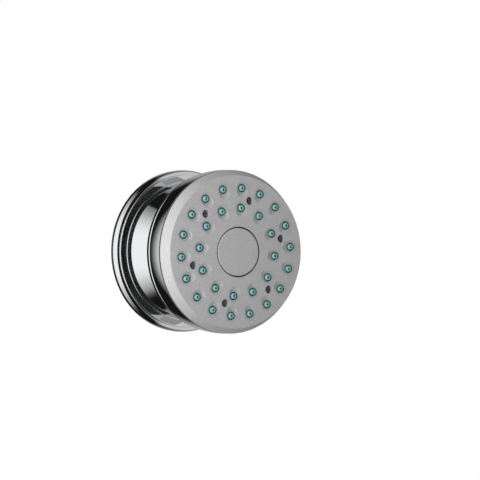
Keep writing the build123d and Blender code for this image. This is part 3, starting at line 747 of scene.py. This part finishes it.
def nipple_section():
    """(radius, forward) corners from the inlet over the outside and back through the bores."""
    lead_in, lead_along = THREAD_LEAD
    bevel_in, bevel_along = HEX_BEVEL
    return [
        (INSERT_RADIUS, NIPPLE_BACK),
        (THREAD_ROOT - lead_in, NIPPLE_BACK),
        (THREAD_ROOT, NIPPLE_BACK + lead_along),
        (THREAD_ROOT, 0),
        (HEX_REACH - bevel_in, 0),
        (HEX_REACH, bevel_along),
        (HEX_REACH, HEX_FRONT - bevel_along),
        (HEX_REACH - bevel_in, HEX_FRONT),
        (NIPPLE_BOSS, HEX_FRONT),
        (NIPPLE_BOSS, NIPPLE_FRONT - NIPPLE_BOSS_BEVEL),
        (NIPPLE_BOSS - NIPPLE_BOSS_BEVEL, NIPPLE_FRONT),
        (STEM_SOCKET, NIPPLE_FRONT),
        (STEM_SOCKET, STEM_SOCKET_BACK),
        (NIPPLE_BORE, STEM_SOCKET_BACK),
        (NIPPLE_BORE, INSERT_FRONT),
        (INSERT_RADIUS, INSERT_FRONT),
    ]


def nipple_core():
    """The nipple without its thread, turned about the jet axis. What is wide is cut back to the hexagon."""
    section = nipple_section()
    count = len(section)
    points, faces = [], []
    for side in range(NIPPLE_SIDES):
        turn = 2 * math.pi * side / NIPPLE_SIDES
        hexagon = HEX_HALF_FLATS / math.cos(turn % (math.pi / 3) - math.pi / 6)
        following = (side + 1) % NIPPLE_SIDES
        for corner, (radius, forward) in enumerate(section):
            reach = min(radius, hexagon) * MM
            points.append((reach * math.cos(turn), -forward * MM, reach * math.sin(turn)))
            after = (corner + 1) % count
            faces.append((side * count + corner, following * count + corner,
                          following * count + after, side * count + after))
    mesh = bpy.data.meshes.new("nipple core")
    mesh.from_pydata(points, [], faces)
    return mesh


def add_threaded_nipple():
    mesh = wound_mesh(nipple_core(), thread_nodes(), PIPE_THREAD, "brass")
    add_piece("threaded_nipple", mesh, "inlet_nipple", "wall_fitting")


def add_button_coil():
    """The button's spring, wound to the length of the CAD spring's box."""
    low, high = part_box("button_spring")
    front, back = low[1], high[1]
    sizes = {"Radius": SPRING_RADIUS, "Wire radius": SPRING_WIRE, "Turns": SPRING_TURNS,
             "Height": back - front - 2 * SPRING_WIRE, "Back": back - SPRING_WIRE}
    mesh = wound_mesh(bpy.data.meshes.new("no core"), coil_nodes(sizes), sizes, "steel")
    coil = add_piece("button_coil", mesh, "button_spring", "head")
    joints = {joint["name"]: joint for joint in frame["record"]["behaviour"]["joints"]}
    stroke = joints["button_press"]["range_m"][1]
    1 - stroke / (back - front)
    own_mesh(coil)


# Studio

def studio_world():
    """White behind the object, and in its reflections a dark room with tall soft panels."""
    world = bpy.data.worlds.new("studio")
    bpy.context.scene.world = world
    world.use_nodes = True
    tree = Tree(world.node_tree)
    x, y, z = tree.axes(tree.node("ShaderNodeTexCoord", output="Generated"))
    azimuth = x.math("ARCTAN2", x, -y) * math.degrees(1)
    elevation = z.math("ARCSINE", z) * math.degrees(1)
    room = DARK_ROOM
    for panel in PANELS:
        glow = panel["level"] * azimuth.band(*panel["azimuth"])
        for limits in panel["elevations"]:
            glow *= elevation.band(*limits)
        room += glow
    seen = tree.node("ShaderNodeLightPath", output="Is Camera Ray")
    mirrored = tree.node("ShaderNodeLightPath", output="Is Glossy Ray")
    level = seen + mirrored * room + (1 - seen) * (1 - mirrored) * AMBIENT
    light = tree.node("ShaderNodeBackground", {}, {"Color": (1, 1, 1, 1), "Strength": level})
    tree.node("ShaderNodeOutputWorld", {}, {"Surface": light})


def direction(azimuth, elevation):
    """Unit vector away from the object."""
    a, e = math.radians(azimuth), math.radians(elevation)
    return Vector((math.sin(a) * math.cos(e), -math.cos(a) * math.cos(e), math.sin(e)))


def add_lamp(name, azimuth, elevation, distance, width, height, watts):
    data = bpy.data.lights.new(name, "AREA")
    data.shape = "RECTANGLE"
    data.size = width
    data.size_y = height
    data.energy = watts
    lamp = bpy.data.objects.new(name, data)
    back = direction(azimuth, elevation)
    lamp.location = back * distance
    lamp.rotation_euler = back.to_track_quat("Z", "Y").to_euler()
    lamp.visible_glossy = False
    bpy.context.scene.collection.objects.link(lamp)


def add_floor():
    turns = [2 * math.pi * side / FLOOR_SIDES for side in range(FLOOR_SIDES)]
    rim = [(FLOOR_RADIUS * math.cos(turn), FLOOR_RADIUS * math.sin(turn), -FLOOR_DROP) for turn in turns]
    mesh = bpy.data.meshes.new("floor")
    mesh.from_pydata(rim, [], [range(FLOOR_SIDES)])
    mesh.materials.append(finish("pale floor", pale_floor, Roughness=0.8))
    floor = bpy.data.objects.new("floor", mesh)
    floor.visible_glossy = False
    bpy.context.scene.collection.objects.link(floor)


def add_camera():
    data = bpy.data.cameras.new("camera")
    data.sensor_width = SENSOR
    data.lens = SENSOR * FOCAL_PIXELS / IMAGE_PIXELS
    camera = bpy.data.objects.new("camera", data)
    bpy.context.scene.collection.objects.link(camera)
    bpy.context.scene.camera = camera
    back = direction(CAMERA_AZIMUTH, CAMERA_ELEVATION)
    turn = back.to_track_quat("Z", "Y")
    aim = Vector((0, JET_TIP_PLANE, 0)) + turn @ Vector((CAMERA_AIM_RIGHT, CAMERA_AIM_UP, 0))
    camera.location = aim + back * CAMERA_DISTANCE
    camera.rotation_mode = "QUATERNION"
    camera.rotation_quaternion = turn


dress_cad_nodes()
add_turned_escutcheon()
add_turned_cup()
add_threaded_nipple()
add_button_coil()
studio_world()
add_lamp("key", **KEY_LAMP)
add_floor()
add_camera()
bpy.context.scene.view_settings.view_transform = "Standard"
